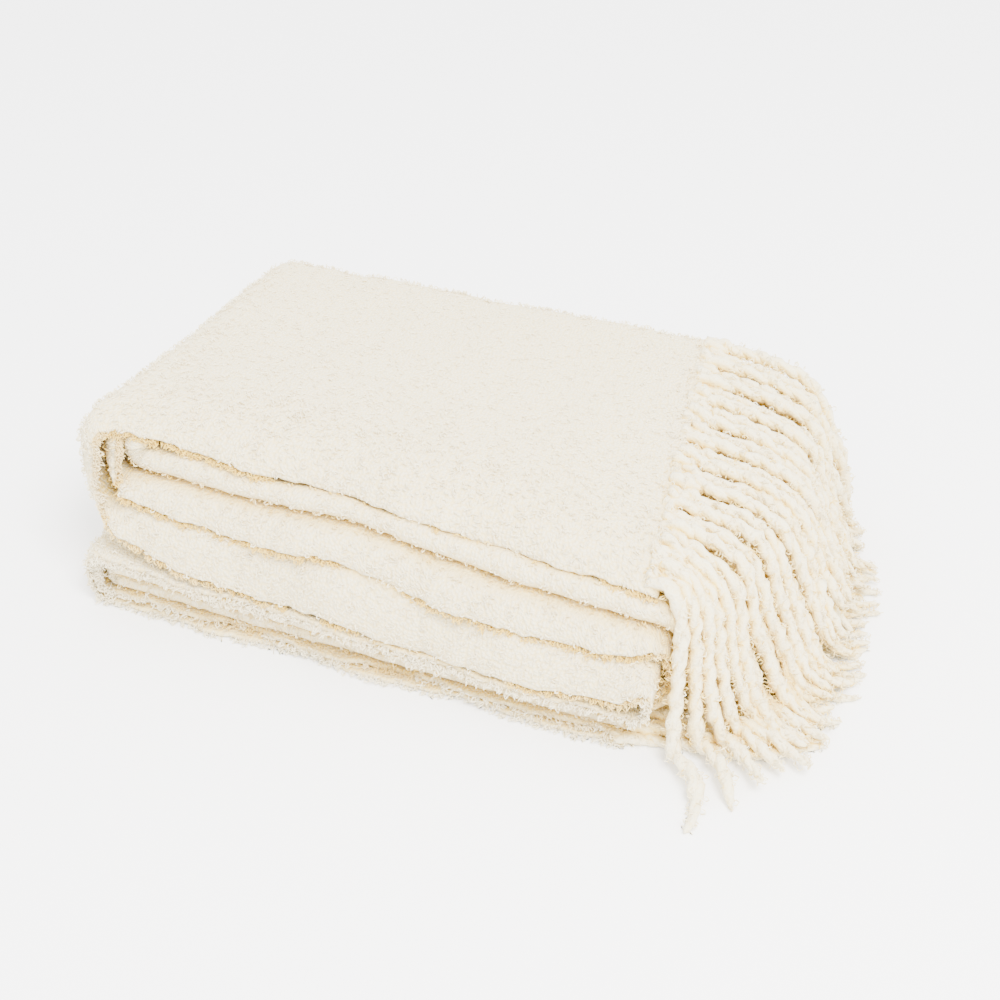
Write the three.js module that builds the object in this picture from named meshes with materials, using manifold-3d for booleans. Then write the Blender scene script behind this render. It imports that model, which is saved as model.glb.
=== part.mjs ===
// A boucle throw, folded lengthwise in quarters and then crosswise in quarters, with a long fringe.
// The cloth is one sheet in sixteen plies. Millimetres, +Z up, front edges towards -Y, fringe at +X.
// The lengthwise folds lay four strips on each other: the outer strip, the inner one, the third and
// the fourth. The crosswise folds carry this bundle through four passes and three turns between them.
// A point of the sheet has two numbers. v runs along the throw, from 0 at the fringed end on top to 7 at
// the one below, by 1 for each pass or turn. u runs across it, from 0 at one selvedge to 9 at the other,
// by 1 for each lip, strip or fold.
import * as THREE from "three";
import { mergeVertices } from "three/addons/utils/BufferGeometryUtils.js";
import Module from "manifold-3d";

// The folded stack
const stackLength = 440;
const stackDepth = 320;
const clothThickness = 3.4;
const topCorners = { frontLeft: 156, frontRight: 128, backLeft: 126, backRight: 134 };
const topSagPower = 2.2;
const lowerPly = 7.1;
const taperToBack = 0.1;

// Heights of the middle of each upper ply at its front, at the left, middle and right of the stack
const frontHeights = [
  { ply: "outer strip, pass 1", left: 156, middle: 152, right: 128 },
  { ply: "inner strip, pass 1", left: 146, middle: 142, right: 119 },
  { ply: "third strip, pass 1", left: 141, middle: 137, right: 114.5 },
  { ply: "fourth strip, pass 1", left: 136, middle: 132, right: 110 },
  { ply: "fourth strip, pass 2", left: 127, middle: 124, right: 104.5 },
  { ply: "third strip, pass 2", left: 109, middle: 108.5, right: 90 },
  { ply: "inner strip, pass 2", left: 102, middle: 102.5, right: 84 },
  { ply: "outer strip, pass 2", left: 85, middle: 80.5, right: 67.5 },
];
const lowerFrontPly = { left: 6.2, middle: 4.9, right: 4.4 };

// Depths over which the plies go from their heights at the front to those of the even stack behind
const upperLevelling = { from: 15, to: 85 };
const lowerLevelling = { from: 0, to: 70 };

// Depths of the selvedges, of where they bend and of the folds, how far the selvedges droop, and how far
// they curl into a turn, in strips. The outer and inner strips end in selvedges, and the front fold
// joins the third and fourth strips.
const zones = [
  { zone: "pass 1, on top", outer: 22, outerBend: 68, outerDrop: 23.5, outerCurl: 0,
    inner: 52, innerBend: 70, innerDrop: 1, innerCurl: 0, front: 44, back: 318, backInner: 292 },
  { zone: "upper left turn", outer: 3, outerBend: 20, outerDrop: 0, outerCurl: 1.05,
    inner: 10, innerBend: 28, innerDrop: 0, innerCurl: 0.9, front: 16, back: 320, backInner: 290 },
  { zone: "pass 2", outer: -16, outerBend: 12, outerDrop: 40.5, outerCurl: 0,
    inner: -3, innerBend: 17, innerDrop: 22.5, innerCurl: 0, front: 14, back: 316, backInner: 290 },
  { zone: "right turn", outer: -14, outerBend: 10, outerDrop: 3, outerCurl: 0,
    inner: 16, innerBend: 34, innerDrop: 2, innerCurl: 0, front: 24, back: 318, backInner: 292 },
  { zone: "pass 3", outer: -17, outerBend: 0, outerDrop: 1, outerCurl: 0,
    inner: -13, innerBend: 4, innerDrop: 0.5, innerCurl: 0, front: -8, back: 312, backInner: 296 },
  { zone: "lower left turn", outer: -12, outerBend: 6, outerDrop: 0, outerCurl: 0.45,
    inner: -10, innerBend: 6, innerDrop: 0, innerCurl: 0.35, front: -6, back: 314, backInner: 294 },
  { zone: "pass 4, below", outer: -14, outerBend: 4, outerDrop: 0, outerCurl: 0,
    inner: -10, innerBend: 6, innerDrop: 0, innerCurl: 0, front: -6, back: 316, backInner: 300 },
];
const turnReach = 0.2;
const turnSquareness = 3;

// How far out each strip of the bundle reaches in the turns
const turnTips = [
  { turn: "upper left", outer: -5, inner: 11, third: 28, fourth: 46 },
  { turn: "right", outer: 443, inner: 450.5, third: 456.5, fourth: 463.5 },
  { turn: "lower left", outer: -2, inner: 5, third: 12, fourth: 19 },
];

// Ends of the first and the last pass at the front, middle and back of the stack, and the length of
// cloth that v grows by 1 over there
const topEnd = { front: 428, middle: 421, back: 418 };
const baseEnd = { front: 414, middle: 436, back: 412 };
const passLength = 425;

// Unevenness: the selvedges' waves and droop, the step in the front face, and the slow waves of the whole
const lipAngle = 1.4;
const edgeWaves = { reach: 3, droop: 2.5, length: 150, calmFrom: 0.2, calmOver: 0.3, innerPhase: 2 };
const droopAlong = { left: 0.7, middle: 1, right: 0.72 };
const shortDroop = 5;
const step = { x: 250, rise: 4, width: 30, depth: 80, ceiling: 150 };
const surfaceWave = { size: 0.012, alongX: 190, alongY: 230, from: 20 };

// Steps of the mesh: spans across each lip, strip and fold, and along each pass and turn
const acrossSpans = [4, 5, 4, 5, 4, 5, 3, 5, 4];
const alongSpans = [10, 6, 10, 6, 8, 5, 8];
const stepDepths = [20, 60, 120, 220];
const leastStep = 8;
const groundSnap = 0.05;
const normalReach = 0.004;
const slopeReach = 0.01;

// Fringe: strands as twisted locks of warp, standing in a narrow strip of cloth. The table has a line for
// each row of strands: its strip s, its rank outwards over the turn, the layer that it lies in on the
// ground, and the depth of its first strand and the number of strands in the top and the base fringe.
const partingGap = 0.4;
const stripWidth = 11;
const strandRadius = 3;
const strandTip = 0.6;
const strandSpans = 7;
const topStrand = 192;
const baseStrand = 152;
const lengthVariation = { size: 9, perStrand: 7, perRow: 3 };
const topSpacing = 25.2;
const baseSpacing = 29;
const strandRows = [
  { s: 0, rank: 3, layer: 0, topFirst: 29, topCount: 12, baseFirst: -9, baseCount: 11 },
  { s: 0, rank: 3, layer: 0, topFirst: 41.6, topCount: 1, baseFirst: 0, baseCount: 0 },
  { s: 1, rank: 2, layer: 0, topFirst: 66.8, topCount: 10, baseFirst: 5.8, baseCount: 10 },
  { s: 2, rank: 1, layer: 1, topFirst: 60.2, topCount: 10, baseFirst: -1.7, baseCount: 10 },
  { s: 3, rank: 0, layer: 1, topFirst: 47.6, topCount: 11, baseFirst: 12.7, baseCount: 10 },
];

// How the top strands hang over the right turn: past its shoulder, reaching out further behind the front
// corner, each rank a gap outside the one before, with a foot that spreads out near the ground
const shoulder = { x: 440, z: 60, lift: 3, out: 8, fall: 1 };
const reach = { front: 6, open: 97, from: 27, over: 130, power: 0.62 };
const rankGap = { front: 2.8, open: 4.6 };
const foot = { front: 4, middle: 50, back: 20, near: 0.6, nearHeight: 20 };

// How the base strands drop to the ground, and how far the strands of each fringe fan out sideways
const landing = { start: 1, near: 12, far: 25, nearDrop: 0.15, farDrop: 0.65 };
const topFan = { front: -50, middle: -12, back: 4, corner: -60, from: 50, over: 21 };
const baseFan = { front: 42, middle: 20, back: 0, corner: 0, from: 50, over: 21 };
const fanGrowth = { even: 0.6, power: 4 };
const strandGap = 0.6;
const openGround = { from: -36, to: -50 };
const sway = { size: 2.5, length: 70, perDepth: 60 };

// Worked out from the sizes above, for four strips in each of four passes
const half = clothThickness / 2;
const stripCount = 4;
const lastPly = 4 * stripCount - 1;
const lowerPlies = 2 * stripCount;
const zoneCount = zones.length;
const partCount = acrossSpans.length;
const strandFoot = strandRadius / 2;
const strandLayer = strandRadius + strandFoot + strandGap;
const topGround = strandFoot + 2 * strandLayer;

const mix = (a, b, t) => a + (b - a) * t;
const clamp = (t) => Math.min(1, Math.max(0, t));

function smooth(t) {
  const c = clamp(t);
  return c * c * (3 - 2 * c);
}

// A smooth value at the share t, from its values at the start, in the middle and at the end
function bow(start, middle, end, share) {
  const t = clamp(share);
  return (1 - t) * (1 - 2 * t) * start + 4 * t * (1 - t) * middle + t * (2 * t - 1) * end;
}

// A smooth value along the stack's length
function along(row, x) {
  return bow(row.left, row.middle, row.right, x / stackLength);
}

// A value between two neighbouring entries of a list
function between(list, at) {
  const low = Math.min(list.length - 2, Math.max(0, Math.floor(at)));
  return mix(list[low], list[low + 1], at - low);
}

function topHeight(x, y) {
  const t = Math.pow(clamp(x / stackLength), topSagPower);
  const depth = clamp(y / stackDepth);
  const left = mix(topCorners.frontLeft, topCorners.backLeft, depth);
  const right = mix(topCorners.frontRight, topCorners.backRight, depth);
  return mix(left, right, t);
}

// Height of a ply's middle away from the front. Ply 0 is the top one, and the last lies on the ground.
function innerHeight(ply, x, y) {
  if (ply >= lowerPlies) {
    return half + (lastPly - ply) * lowerPly;
  }
  const foot = half + (lastPly - lowerPlies) * lowerPly;
  return foot + (topHeight(x, y) - half - foot) * (lowerPlies - ply) / lowerPlies;
}

function frontHeight(ply, x) {
  const lower = along(lowerFrontPly, x);
  if (ply >= lowerPlies) {
    return half + (lastPly - ply) * lower;
  }
  const heights = frontHeights.map((row) => along(row, x));
  heights.push(half + (lastPly - lowerPlies) * lower);
  return between(heights, ply) - half * clamp(1 - ply);
}

function plyHeight(ply, x, y) {
  const levelling = ply > lowerPlies - 1 ? lowerLevelling : upperLevelling;
  const t = smooth((y - levelling.from) / (levelling.to - levelling.from));
  return mix(frontHeight(ply, x), innerHeight(ply, x, y), t);
}

// The ply of strip s, from 0 for the outer strip to 3 for the fourth, in each pass
function plyOf(pass, s) {
  const turned = pass % 2 === 1;
  return stripCount * pass + (turned ? stripCount - 1 - s : s);
}

// The pass nearest to v, counted from 0
function nearestPass(v) {
  return Math.round(Math.min(zoneCount, Math.max(0, v)) / 2 - 0.25);
}

// A column of the table of zones at v: held along the passes, and turning smoothly through the turns
function zoneValue(v, column) {
  const held = zones[2 * nearestPass(v)][column];
  const turn = 2 * Math.round((v - 1.5) / 2) + 1;
  const away = Math.abs(v - turn - 0.5) / (turnReach + 0.5);
  if (turn < 1 || turn >= zoneCount - 1 || away >= 1) {
    return held;
  }
  return mix(held, zones[turn][column], smooth(1 - away));
}

function tipOf(turn, s) {
  const row = turnTips[turn];
  return between([row.outer, row.inner, row.third, row.fourth], s);
}

// A turn's half loop at strip s: where its straight plies end, and the heights that it joins
function turnShape(turn, s, y) {
  const tip = tipOf(turn, s);
  const top = plyHeight(plyOf(turn, s), tip, y);
  const bottom = plyHeight(plyOf(turn + 1, s), tip, y);
  const radius = (top - bottom) / 2;
  const side = turn === 1 ? 1 : -1;
  return { start: tip - side * radius, side, radius };
}

// Where an end of the cloth lies at depth y
function endAt(end, y) {
  return bow(end.front, end.middle, end.back, y / stackDepth);
}

// The half loop of a turn at the share t, from 1 at its top to -1 below and out to 1: squarer than a circle
function halfLoop(t) {
  const out = Math.sin(Math.PI * t);
  const up = Math.cos(Math.PI * t);
  const powers = Math.pow(out, turnSquareness) + Math.pow(Math.abs(up), turnSquareness);
  const size = Math.pow(powers, 1 / turnSquareness);
  return { out: out / size, up: up / size };
}

// The point of the bundle at v, strip s and depth y, as x and z
function bundlePoint(v, s, y) {
  const zone = Math.min(zoneCount - 1, Math.max(0, Math.floor(v)));
  const t = v - zone;
  if (zone % 2 === 1) {
    const turn = (zone - 1) / 2;
    const shape = turnShape(turn, s, y);
    const loop = halfLoop(t);
    const x = shape.start + shape.side * shape.radius * loop.out;
    const top = plyHeight(plyOf(turn, s), shape.start, y);
    const bottom = plyHeight(plyOf(turn + 1, s), shape.start, y);
    return [x, (top + bottom) / 2 + (top - bottom) / 2 * loop.up];
  }
  const pass = zone / 2;
  const from = zone === 0 ? endAt(topEnd, y) : turnShape(pass - 1, s, y).start;
  const to = zone === zoneCount - 1 ? endAt(baseEnd, y) : turnShape(pass, s, y).start;
  const x = mix(from, to, t);
  return [x, plyHeight(plyOf(pass, s), x, y)];
}

// Half of the clear way between two strips, square to the ply, which sets how far a fold bulges
function foldRadius(v, sA, sB, y) {
  const a = bundlePoint(v, sA, y);
  const b = bundlePoint(v, sB, y);
  const low = bundlePoint(v - slopeReach, sA, y);
  const high = bundlePoint(v + slopeReach, sA, y);
  const run = Math.hypot(high[0] - low[0], high[1] - low[1]);
  const across = (b[0] - a[0]) * (high[1] - low[1]) - (b[1] - a[1]) * (high[0] - low[0]);
  return Math.abs(across) / run / 2;
}

// A selvedge's wave, which dies out in the turns
function edgeWave(v, phase) {
  const fromMiddle = Math.abs(v - 2 * nearestPass(v) - 0.5);
  const lively = 1 - smooth((fromMiddle - edgeWaves.calmFrom) / edgeWaves.calmOver);
  return lively * Math.sin(2 * Math.PI * v * stackLength / edgeWaves.length + phase);
}

// Roughly how far along the stack v lies
function stackXAt(v) {
  const pass = nearestPass(v);
  const t = clamp(v - 2 * pass);
  return stackLength * (pass % 2 === 0 ? 1 - t : t);
}

// The drooping lip of strip s, from its bend at t = 0 to its edge at t = 1: its strip, depth and fall
function lip(v, part, s, t) {
  const wave = edgeWave(v, part === "outer" ? 0 : edgeWaves.innerPhase);
  const edge = zoneValue(v, part) - edgeWaves.reach * wave;
  const bend = zoneValue(v, part + "Bend");
  const drop = zoneValue(v, part + "Drop");
  const angle = lipAngle * t;
  const slack = drop > shortDroop ? edgeWaves.droop * (1 + wave) / 2 : 0;
  const fall = (drop - slack) * along(droopAlong, stackXAt(v));
  const bent = (1 - Math.cos(angle)) / (1 - Math.cos(lipAngle));
  return {
    s: s + zoneValue(v, part + "Curl") * bent,
    y: bend - (bend - edge) * Math.sin(angle) / Math.sin(lipAngle),
    fall: fall * bent,
  };
}

// Depth at the share t of a strip, so that the strips have their steps at the same depths
function stripDepth(t, front, back) {
  const middle = stepDepths.map((depth, i) => Math.max(depth, front + leastStep * (i + 1)));
  const knots = [front, ...middle, back];
  return between(knots, t * (knots.length - 1));
}

// A fold of the given radius about the depth where its strips end: side is 1 at the back, -1 in front
function fold(t, fromS, toS, depth, radius, side) {
  const angle = Math.PI * t;
  return {
    s: (fromS + toS) / 2 + (fromS - toS) / 2 * Math.cos(angle),
    y: depth + side * radius * Math.sin(angle),
    fall: 0,
  };
}

// Across the cloth at u: the strip s, which is between two strips in a fold, the depth y and the fall
function across(u, v) {
  const part = Math.min(partCount - 1, Math.max(0, Math.floor(u)));
  const t = u - part;
  const back = zoneValue(v, "back");
  const backInner = zoneValue(v, "backInner");
  const front = zoneValue(v, "front");
  const outerRound = foldRadius(v, 0, 3, back);
  const innerRound = foldRadius(v, 1, 2, backInner);
  const frontRound = foldRadius(v, 2, 3, front);
  const backEnd = back - outerRound;
  const backInnerEnd = backInner - innerRound;
  const frontEnd = front + frontRound;
  const parts = [
    () => lip(v, "outer", 0, 1 - t),
    () => ({ s: 0, y: stripDepth(t, zoneValue(v, "outerBend"), backEnd), fall: 0 }),
    () => fold(t, 0, 3, backEnd, outerRound, 1),
    () => ({ s: 3, y: stripDepth(1 - t, frontEnd, backEnd), fall: 0 }),
    () => fold(t, 3, 2, frontEnd, frontRound, -1),
    () => ({ s: 2, y: stripDepth(t, frontEnd, backInnerEnd), fall: 0 }),
    () => fold(t, 2, 1, backInnerEnd, innerRound, 1),
    () => ({ s: 1, y: stripDepth(1 - t, zoneValue(v, "innerBend"), backInnerEnd), fall: 0 }),
    () => lip(v, "inner", 1, t),
  ];
  return parts[part]();
}

function sheetPoint(u, v) {
  const place = across(u, v);
  const [x, z] = bundlePoint(v, place.s, place.y);
  return new THREE.Vector3(x, place.y, z - place.fall);
}

// The slow waves and the taper of the whole stack, which leave the ground flat
function settle(point) {
  const lift = clamp(point.z / surfaceWave.from);
  const front = smooth(1 - point.y / step.depth);
  const body = Math.pow(Math.sin(Math.PI * clamp(point.z / step.ceiling)), 2);
  const rise = -step.rise * Math.tanh((point.x - step.x) / step.width) * front * body;
  const waveX = Math.sin(2 * Math.PI * point.x / surfaceWave.alongX);
  const waveY = Math.cos(2 * Math.PI * point.y / surfaceWave.alongY);
  const z = point.z * (1 + surfaceWave.size * waveX * waveY * lift) + rise;
  const x = point.x * (1 - taperToBack * clamp(point.y / stackDepth));
  return new THREE.Vector3(x, point.y, z);
}

// Flat on the ground, which nothing goes below
function grounded(z) {
  return z < groundSnap ? 0 : z;
}

function sheetNormal(u, v) {
  const alongU = sheetPoint(u + normalReach, v).sub(sheetPoint(u - normalReach, v));
  const alongV = sheetPoint(u, v + normalReach).sub(sheetPoint(u, v - normalReach));
  return alongU.cross(alongV).normalize();
}

// The values of u or v at the ends of all spans, where each part of the sheet is 1 long
function partSteps(spans) {
  const values = [0];
  spans.forEach((count, part) => {
    for (let i = 1; i <= count; i += 1) {
      values.push(part + i / count);
    }
  });
  return values;
}

function meshOf(positions, faces) {
  const geometry = new THREE.BufferGeometry();
  geometry.setAttribute("position", new THREE.Float32BufferAttribute(positions, 3));
  geometry.setIndex(faces);
  return geometry;
}

// A closed sheet of the cloth's thickness over the given values of u and v
function thickSheet(columns, stations) {
  const width = columns.length;
  const positions = [];
  for (const side of [1, -1]) {
    for (const v of stations) {
      for (const u of columns) {
        const offset = sheetNormal(u, v).multiplyScalar(side * half);
        const point = settle(sheetPoint(u, v).add(offset));
        positions.push(point.x, point.y, grounded(point.z));
      }
    }
  }
  const faces = [];
  const count = width * stations.length;
  const quad = (a, b, c, d) => faces.push(a, b, c, a, c, d);
  for (let i = 0; i + 1 < stations.length; i += 1) {
    for (let j = 0; j + 1 < width; j += 1) {
      const a = i * width + j;
      quad(a, a + 1, a + width + 1, a + width);
      quad(count + a, count + a + width, count + a + width + 1, count + a + 1);
    }
  }
  for (let j = 0; j + 1 < width; j += 1) {
    const last = (stations.length - 1) * width + j;
    quad(j + 1, j, count + j, count + j + 1);
    quad(last, last + 1, count + last + 1, count + last);
  }
  for (let i = 0; i + 1 < stations.length; i += 1) {
    const near = i * width;
    const far = near + width - 1;
    quad(near, near + width, count + near + width, count + near);
    quad(far + width, far, count + far, count + far + width);
  }
  return meshOf(positions, faces);
}

// A three-sided strand about its centres, with one side flat towards the stack and the ground
function strandMesh(centres, radii) {
  const positions = [];
  const faces = [];
  const ySide = new THREE.Vector3(0, 1, 0);
  centres.forEach((centre, i) => {
    const before = centres[Math.max(0, i - 1)];
    const after = centres[Math.min(centres.length - 1, i + 1)];
    const direction = after.clone().sub(before).normalize();
    const side = ySide.clone().addScaledVector(direction, -ySide.dot(direction)).normalize();
    const inward = side.clone().cross(direction);
    const radius = radii[i];
    const foot = centre.clone().addScaledVector(inward, strandFoot);
    const halfWidth = radius * Math.sin(Math.PI / 3);
    const corners = [
      foot.clone().addScaledVector(side, halfWidth),
      foot.clone().addScaledVector(inward, -1.5 * radius),
      foot.clone().addScaledVector(side, -halfWidth),
    ];
    corners.forEach((corner) => positions.push(corner.x, corner.y, grounded(corner.z)));
  });
  for (let i = 0; i + 1 < centres.length; i += 1) {
    for (let k = 0; k < 3; k += 1) {
      const a = 3 * i + k;
      const b = 3 * i + (k + 1) % 3;
      faces.push(a, b, b + 3, a, b + 3, a + 3);
    }
  }
  const last = 3 * (centres.length - 1);
  faces.push(0, 2, 1, last, last + 1, last + 2);
  return meshOf(positions, faces);
}

// How far a strand has fanned to the back from its root at depth y, at the share t of its length
function fanned(fan, y, t) {
  const slow = bow(fan.front, fan.middle, fan.back, y / stackDepth);
  const whole = slow + fan.corner * clamp((fan.from - y) / fan.over);
  return whole * mix(Math.pow(t, fanGrowth.power), t, fanGrowth.even);
}

// Height of the strip's middle where a strand is rooted, on the drooping lip of the outer strip too
function rootHeight(end, row, x, y) {
  const height = plyHeight(plyOf(end.pass, row.s), x, y);
  const bend = zoneValue(end.v, "outerBend");
  if (row.s > 0 || y > bend) {
    return height;
  }
  const share = clamp((bend - y) / (bend - zoneValue(end.v, "outer")));
  const angle = Math.asin(share * Math.sin(lipAngle));
  const fall = zoneValue(end.v, "outerDrop") * along(droopAlong, x);
  return height - fall * (1 - Math.cos(angle)) / (1 - Math.cos(lipAngle));
}

// The shares from 0 to 1 of so many equal spans
function spaced(spans) {
  return Array.from({ length: spans + 1 }, (_, i) => i / spans);
}

// The middle line of a strand from its root in the strip, along a route of points [x, z] that ends on
// the ground and then straight on, to its tip
function strandCentres(route, y, length, phase, fan) {
  const points = route.map(([x, z]) => new THREE.Vector3(x, 0, z));
  const last = points[points.length - 1];
  points.push(new THREE.Vector3(last.x + length / 2, 0, last.z));
  points.push(new THREE.Vector3(last.x + length, 0, last.z));
  const whole = new THREE.CatmullRomCurve3(points, false, "centripetal");
  const share = length / whole.getLength();
  return spaced(strandSpans).map((t) => {
    const point = whole.getPointAt(t * share);
    const turns = t * length / sway.length;
    const swing = sway.size * t * Math.sin(2 * Math.PI * turns + y / sway.perDepth + phase);
    const sideways = fanned(fan, y, t);
    const drawn = sideways * sideways / length;
    return new THREE.Vector3(point.x - drawn, y + sideways + swing, Math.max(last.z, point.z));
  });
}

// Over the right-hand turn, down its side and out along the ground, each row outside the one below:
// close to the stack at its front corner, and in an open slope behind
function topRoute(row, rootX, rootZ, y) {
  const t = Math.pow(clamp((y - reach.from) / reach.over), reach.power);
  const out = mix(reach.front, reach.open, t) + mix(rankGap.front, rankGap.open, t) * row.rank;
  const rise = rootZ - shoulder.z;
  const side = shoulder.x + out;
  const spread = bow(foot.front, foot.middle, foot.back, y / stackDepth);
  const diagonal = Math.SQRT1_2;
  return [
    [rootX + stripWidth / 2, rootZ],
    [Math.min(rootX + stripWidth + shoulder.out, side), rootZ - shoulder.fall],
    [shoulder.x + out * diagonal, shoulder.z + rise * diagonal + shoulder.lift],
    [side, shoulder.z],
    [side + spread * foot.near, foot.nearHeight],
    [side + spread, topGround],
  ];
}

// From the strip down to the ground or to the layer of strands on it, and out along that
function baseRoute(row, rootX, rootZ) {
  const lowest = strandFoot + row.layer * strandLayer;
  const drop = Math.max(0, rootZ - lowest);
  const edge = rootX + stripWidth;
  return [
    [rootX + stripWidth / 2, rootZ],
    [edge + landing.start, rootZ - drop * landing.nearDrop],
    [edge + landing.near, rootZ - drop * landing.farDrop],
    [edge + landing.far, lowest],
  ];
}

// In front of the base fringe the upper strands come down to the ground itself
function layDown(point) {
  const open = smooth((openGround.from - point.y) / (openGround.from - openGround.to));
  const lowest = mix(topGround, strandFoot, open);
  const share = (point.z - topGround) / (shoulder.z - topGround);
  return new THREE.Vector3(point.x, point.y, mix(lowest, shoulder.z, share));
}

function toManifold(wasm, geometry) {
  const bare = geometry.clone();
  bare.deleteAttribute("normal");
  bare.deleteAttribute("uv");
  const merged = mergeVertices(bare);
  const mesh = new wasm.Mesh({
    numProp: 3,
    vertProperties: new Float32Array(merged.attributes.position.array),
    triVerts: new Uint32Array(merged.index.array),
  });
  return new wasm.Manifold(mesh);
}

function fromManifold(solid) {
  const mesh = solid.getMesh();
  const geometry = new THREE.BufferGeometry();
  geometry.setAttribute("position", new THREE.Float32BufferAttribute(mesh.vertProperties, 3));
  geometry.setIndex(new THREE.BufferAttribute(mesh.triVerts, 1));
  return geometry;
}

// A fringe: the strip parted from the cloth's end, with its strands fused to it at their roots
function fringeMesh(wasm, end) {
  const distances = [partingGap, stripWidth];
  const stations = distances.map((distance) => end.v + end.out * distance / passLength);
  stations.sort((a, b) => a - b);
  let solid = toManifold(wasm, thickSheet(partSteps(acrossSpans), stations));
  for (const row of strandRows) {
    for (let i = 0; i < row[end.name + "Count"]; i += 1) {
      const y = row[end.name + "First"] + i * end.spacing;
      const x = endAt(end.edge, y);
      const route = end.route(row, x, rootHeight(end, row, x, y), y);
      const phase = lengthVariation.perStrand * i + lengthVariation.perRow * row.s + end.pass;
      const length = end.length + lengthVariation.size * Math.sin(phase);
      const centres = strandCentres(route, y, length, end.pass, end.fan);
      const placed = centres.map((centre) => end.place(settle(centre)));
      const radii = placed.map((point, k) => (k === strandSpans ? strandTip : 1) * strandRadius);
      solid = solid.add(toManifold(wasm, strandMesh(placed, radii)));
    }
  }
  return fromManifold(solid);
}

const topFringe = {
  name: "top", pass: 0, v: 0, out: -1, edge: topEnd, length: topStrand, spacing: topSpacing,
  fan: topFan, route: topRoute, place: layDown,
};
const baseFringe = {
  name: "base", pass: 3, v: zoneCount, out: 1, edge: baseEnd, length: baseStrand, spacing: baseSpacing,
  fan: baseFan, route: baseRoute, place: (point) => point,
};

const wasm = await Module();
wasm.setup();

const group = new THREE.Group();
group.name = "boucle_throw";

function addPiece(name, geometry, color) {
  const material = new THREE.MeshStandardMaterial({ color, roughness: 0.95, metalness: 0 });
  const piece = new THREE.Mesh(geometry, material);
  piece.name = name;
  piece.geometry.computeVertexNormals();
  group.add(piece);
}

addPiece("throw_cloth", thickSheet(partSteps(acrossSpans), partSteps(alongSpans)), 0xf1ece0);
addPiece("fringe_top", fringeMesh(wasm, topFringe), 0xf3eee3);
addPiece("fringe_base", fringeMesh(wasm, baseFringe), 0xf3eee3);

// The origin is the middle of the ground under the throw
const box = new THREE.Box3().setFromObject(group);
group.position.set(-(box.min.x + box.max.x) / 2, -(box.min.y + box.max.y) / 2, 0);

export default group;
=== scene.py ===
"""A boucle throw folded in quarters both ways, with a long twisted fringe, on a pale floor.

The sheet follows the mapping of the part's source, in finer steps. v runs along the cloth, from 0 at the
fringed end on top to 7 at the one below, and u runs across it, from 0 at one selvedge to 9 at the other.
s is a place in the folded bundle, from 0 in its outer strip to 3 in its fourth. Lengths are in
millimetres until a mesh is made.
"""
import math
from types import SimpleNamespace as Sizes

import bpy
import numpy as np
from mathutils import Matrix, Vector
from mathutils.bvhtree import BVHTree


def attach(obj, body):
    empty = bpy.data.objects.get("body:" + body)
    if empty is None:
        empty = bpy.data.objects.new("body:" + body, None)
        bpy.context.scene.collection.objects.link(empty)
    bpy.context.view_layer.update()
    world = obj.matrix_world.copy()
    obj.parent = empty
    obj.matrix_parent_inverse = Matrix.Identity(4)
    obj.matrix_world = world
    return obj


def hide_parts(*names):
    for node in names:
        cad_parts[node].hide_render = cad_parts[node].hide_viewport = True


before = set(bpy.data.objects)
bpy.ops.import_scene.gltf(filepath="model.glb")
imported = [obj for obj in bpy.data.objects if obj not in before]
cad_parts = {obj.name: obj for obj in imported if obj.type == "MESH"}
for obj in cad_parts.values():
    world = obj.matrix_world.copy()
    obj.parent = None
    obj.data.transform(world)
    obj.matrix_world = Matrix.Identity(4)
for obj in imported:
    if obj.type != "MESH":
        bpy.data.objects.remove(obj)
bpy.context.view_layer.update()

# The stack, as in the part's source. SHIFT takes the source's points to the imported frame, HALF is half
# of a ply's thickness, and LAST and LOWER are the last ply and the first of the lower ones, counted
# from 0 on top.
METRE = 1000
SHIFT = np.array([-281.883, -123.365, 0.0])
LENGTH, DEPTH = 440.0, 320.0
HALF = 1.7
LAST, LOWER = 15, 8
TOP_CORNERS = Sizes(front_left=156, front_right=128, back_left=126, back_right=134)
TOP_SAG_POWER = 2.2
TAPER_TO_BACK = 0.1

# Heights of each upper ply at its front, and the spacing of the lower ones there: left, middle and right
FRONT = [(156, 152, 128), (146, 142, 119), (141, 137, 114.5), (136, 132, 110), (127, 124, 104.5),
         (109, 108.5, 90), (102, 102.5, 84), (85, 80.5, 67.5)]
LOWER_FRONT = (6.2, 4.9, 4.4)
LOWER_PLY = 7.1

# Depths over which the plies level out behind the front. The top ply takes longer than in the solids.
LEVELLING = Sizes(upper_from=15.0, lower_from=0.0, over=70.0, top_over=150.0)

# Depths of the selvedges, their bends and the folds, and how far the selvedges droop and curl. The
# columns are the passes and turns along v, from the pass on top.
ZONES = dict(
    outer=[22, 3, -16, -14, -17, -12, -14],
    outerBend=[68, 20, 12, 10, 0, 6, 4],
    outerDrop=[23.5, 0, 40.5, 3, 1, 0, 0],
    outerCurl=[0, 1.05, 0, 0, 0, 0.45, 0],
    inner=[52, 10, -3, 16, -13, -10, -10],
    innerBend=[70, 28, 17, 34, 4, 6, 6],
    innerDrop=[1, 0, 22.5, 2, 0.5, 0, 0],
    innerCurl=[0, 0.9, 0, 0, 0, 0.35, 0],
    front=[44, 16, 14, 24, -8, -6, -6],
    back=[318, 320, 316, 318, 312, 314, 316],
    backInner=[292, 290, 290, 292, 296, 294, 300],
)
ZONES = {name: np.array(row, float) for name, row in ZONES.items()}
ZONE_COUNT, PART_COUNT = 7, 9
TURN_REACH = 0.2
SQUARENESS = 3

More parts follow.
